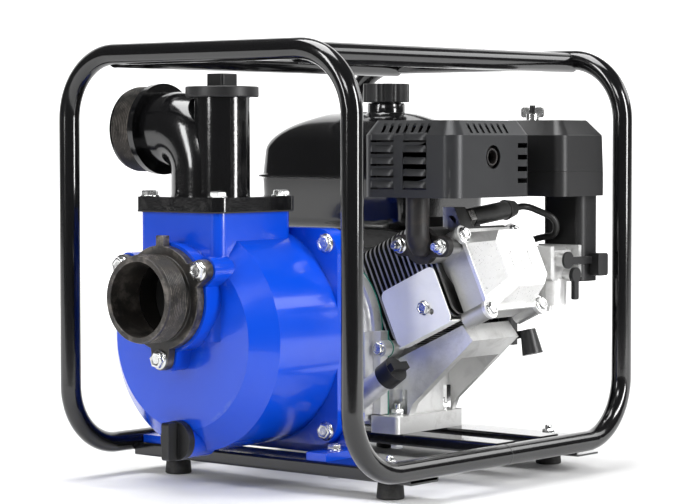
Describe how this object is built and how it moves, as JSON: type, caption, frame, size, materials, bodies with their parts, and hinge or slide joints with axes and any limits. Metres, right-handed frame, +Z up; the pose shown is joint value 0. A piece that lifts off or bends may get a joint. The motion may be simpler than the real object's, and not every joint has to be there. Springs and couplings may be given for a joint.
{
  "type": "engine driven trash pump",
  "caption": "Self-priming trash pump with threaded suction and discharge ports, driven by a small overhead-valve engine, held in a bent tube frame on rubber feet.",
  "frame": {"origin": "on the ground, under the middle of the box round the whole machine", "axes": "+Z up, -Y the suction side, +Y the recoil starter, +X the cylinder head, -X the discharge outlet"},
  "size_m": [0.3994, 0.5042, 0.4482],
  "materials": {
    "frame_paint": "gloss",
    "foot_rubber": "matte",
    "zinc": "bright zinc plate",
    "blue_paint": "cast, gloss blue paint",
    "port_black": "cast, satin black paint, worn",
    "outlet_black": "cast, gloss black paint",
    "cap_black": "satin",
    "valve_rubber": "matte",
    "cast_iron": "as cast",
    "seal_grey": "matte",
    "case_aluminium": "die cast, satin",
    "gasket_green": "matte",
    "machined_steel": "machined",
    "forged_aluminium": "machined",
    "fin_aluminium": "cast, dark, bright fin edges",
    "head_aluminium": "die cast, satin",
    "cover_aluminium": "satin",
    "shield_steel": "bright sheet",
    "exhaust_black": "matte, heat proof",
    "guard_grey": "satin",
    "carb_metal": "die cast",
    "lever_plastic": "satin",
    "cleaner_plastic": "fine grained",
    "filter_foam": "matte",
    "boot_rubber": "matte",
    "tank_paint": "gloss",
    "fan_paint": "gloss",
    "reel_plastic": "matte",
    "flywheel_metal": "machined"
  },
  "bodies": {
    "machine": {"air_cleaner_base": "cleaner_plastic", "air_cleaner_cover": "cleaner_plastic", "air_filter": "filter_foam", "air_shield": "shield_steel", "base_bolts": "zinc", "carburettor": "carb_metal", "cover_gasket": "gasket_green", "crank_bearings": "machined_steel", "crankcase": "case_aluminium", "crankcase_cover": "case_aluminium", "cylinder_barrel": "fin_aluminium", "cylinder_head": "head_aluminium", "discharge_elbow": "outlet_black", "discharge_gasket": "valve_rubber", "engine_cover_bolts": "zinc", "engine_cross_bars": "frame_paint", "exhaust_nuts": "zinc", "exhaust_pipe": "exhaust_black", "fan_housing": "fan_paint", "front_cross_bar": "frame_paint", "front_hoop": "frame_paint", "fuel_tank": "tank_paint", "mechanical_seal": "seal_grey", "muffler": "exhaust_black", "muffler_guard": "guard_grey", "pump_bolts": "zinc", "pump_bracket": "blue_paint", "pump_housing": "blue_paint", "rear_cross_bar": "frame_paint", "rear_hoop": "frame_paint", "recoil_cover": "fan_paint", "rocker_cover": "cover_aluminium", "rubber_feet": "foot_rubber", "spark_plug": "machined_steel", "spark_plug_boot": "boot_rubber", "spark_plug_lead": "boot_rubber", "suction_port": "port_black", "top_rail_left": "frame_paint", "top_rail_right": "frame_paint", "volute": "cast_iron"},
    "rotor": {"crankshaft": "machined_steel", "flywheel": "flywheel_metal", "impeller": "cast_iron"},
    "piston_body": {"piston": "forged_aluminium", "wrist_pin": "machined_steel"},
    "rod_body": {"connecting_rod": "forged_aluminium", "crankpin": "machined_steel"},
    "check_valve": {"check_valve_flap": "valve_rubber"},
    "priming_cap_body": {"priming_cap": "cap_black"},
    "drain_plug_body": {"drain_plug": "cap_black"},
    "fuel_cap_body": {"fuel_cap": "cap_black"},
    "oil_plug_body": {"oil_filler_plug": "cap_black"},
    "wing_nut_body": {"air_cleaner_wing_nut": "zinc"},
    "choke_body": {"choke_lever": "lever_plastic"},
    "fuel_tap_body": {"fuel_tap_lever": "lever_plastic"},
    "throttle_body": {"throttle_lever": "lever_plastic"},
    "switch_body": {"engine_switch": "lever_plastic"},
    "starter_body": {"starter_handle": "lever_plastic"},
    "reel_body": {"recoil_reel": "reel_plastic"}
  },
  "joints": [
    {"name": "crank_spin", "type": "hinge", "parent": "machine", "child": "rotor", "pos_m": [-0.05, 0, 0.152], "axis": [0, 1, 0], "continuous": true},
    {"name": "piston_stroke", "type": "slide", "parent": "machine", "child": "piston_body", "axis": [0.9063, 0, 0.4226], "range_m": [-0.054, 0]},
    {"name": "rod_swing", "type": "hinge", "parent": "piston_body", "child": "rod_body", "pos_m": [0.0506, 0.079, 0.19891], "axis": [0, 1, 0], "range_deg": [-18, 18]},
    {"name": "check_valve_swing", "type": "hinge", "parent": "machine", "child": "check_valve", "pos_m": [-0.05, -0.1852, 0.238], "axis": [1, 0, 0], "range_deg": [0, 25]},
    {"name": "priming_cap_turn", "type": "hinge", "parent": "machine", "child": "priming_cap_body", "pos_m": [-0.037, -0.143, 0.394], "axis": [0, 0, 1], "range_deg": [0, 540]},
    {"name": "drain_plug_turn", "type": "hinge", "parent": "machine", "child": "drain_plug_body", "pos_m": [-0.05, -0.19, 0.051], "axis": [0, -1, 0], "range_deg": [0, 720]},
    {"name": "fuel_cap_turn", "type": "hinge", "parent": "machine", "child": "fuel_cap_body", "pos_m": [-0.031, 0.112, 0.382], "axis": [0, 0, 1], "range_deg": [0, 90]},
    {"name": "oil_plug_turn", "type": "hinge", "parent": "machine", "child": "oil_plug_body", "pos_m": [0.014, -0.002, 0.074], "axis": [0.8192, 0, 0.5736], "range_deg": [0, 720]},
    {"name": "wing_nut_turn", "type": "hinge", "parent": "machine", "child": "wing_nut_body", "pos_m": [0.118, 0.176, 0.372], "axis": [0, 0, 1], "range_deg": [0, 720]},
    {"name": "choke_turn", "type": "hinge", "parent": "machine", "child": "choke_body", "pos_m": [0.174, 0.16, 0.225], "axis": [1, 0, 0], "range_deg": [0, 35]},
    {"name": "fuel_tap_turn", "type": "hinge", "parent": "machine", "child": "fuel_tap_body", "pos_m": [0.174, 0.172, 0.209], "axis": [1, 0, 0], "range_deg": [-90, 0]},
    {"name": "throttle_turn", "type": "hinge", "parent": "machine", "child": "throttle_body", "pos_m": [0.054, 0.126, 0.132], "axis": [0, 1, 0], "range_deg": [0, 20]},
    {"name": "switch_turn", "type": "hinge", "parent": "machine", "child": "switch_body", "pos_m": [0.022, 0.204, 0.232], "axis": [0, 1, 0], "range_deg": [0, 60]},
    {"name": "starter_pull", "type": "slide", "parent": "machine", "child": "starter_body", "axis": [1, 0, 0], "range_m": [0, 0.5], "stiffness_N_per_m": 15},
    {"name": "reel_turn", "type": "hinge", "parent": "machine", "child": "reel_body", "pos_m": [-0.05, 0.2, 0.152], "axis": [0, 1, 0], "range_deg": [0, 545]}
  ],
  "couplings": [
    {"joint": "reel_turn", "follows": "starter_pull", "rad_per_m": 18.868}
  ]
}
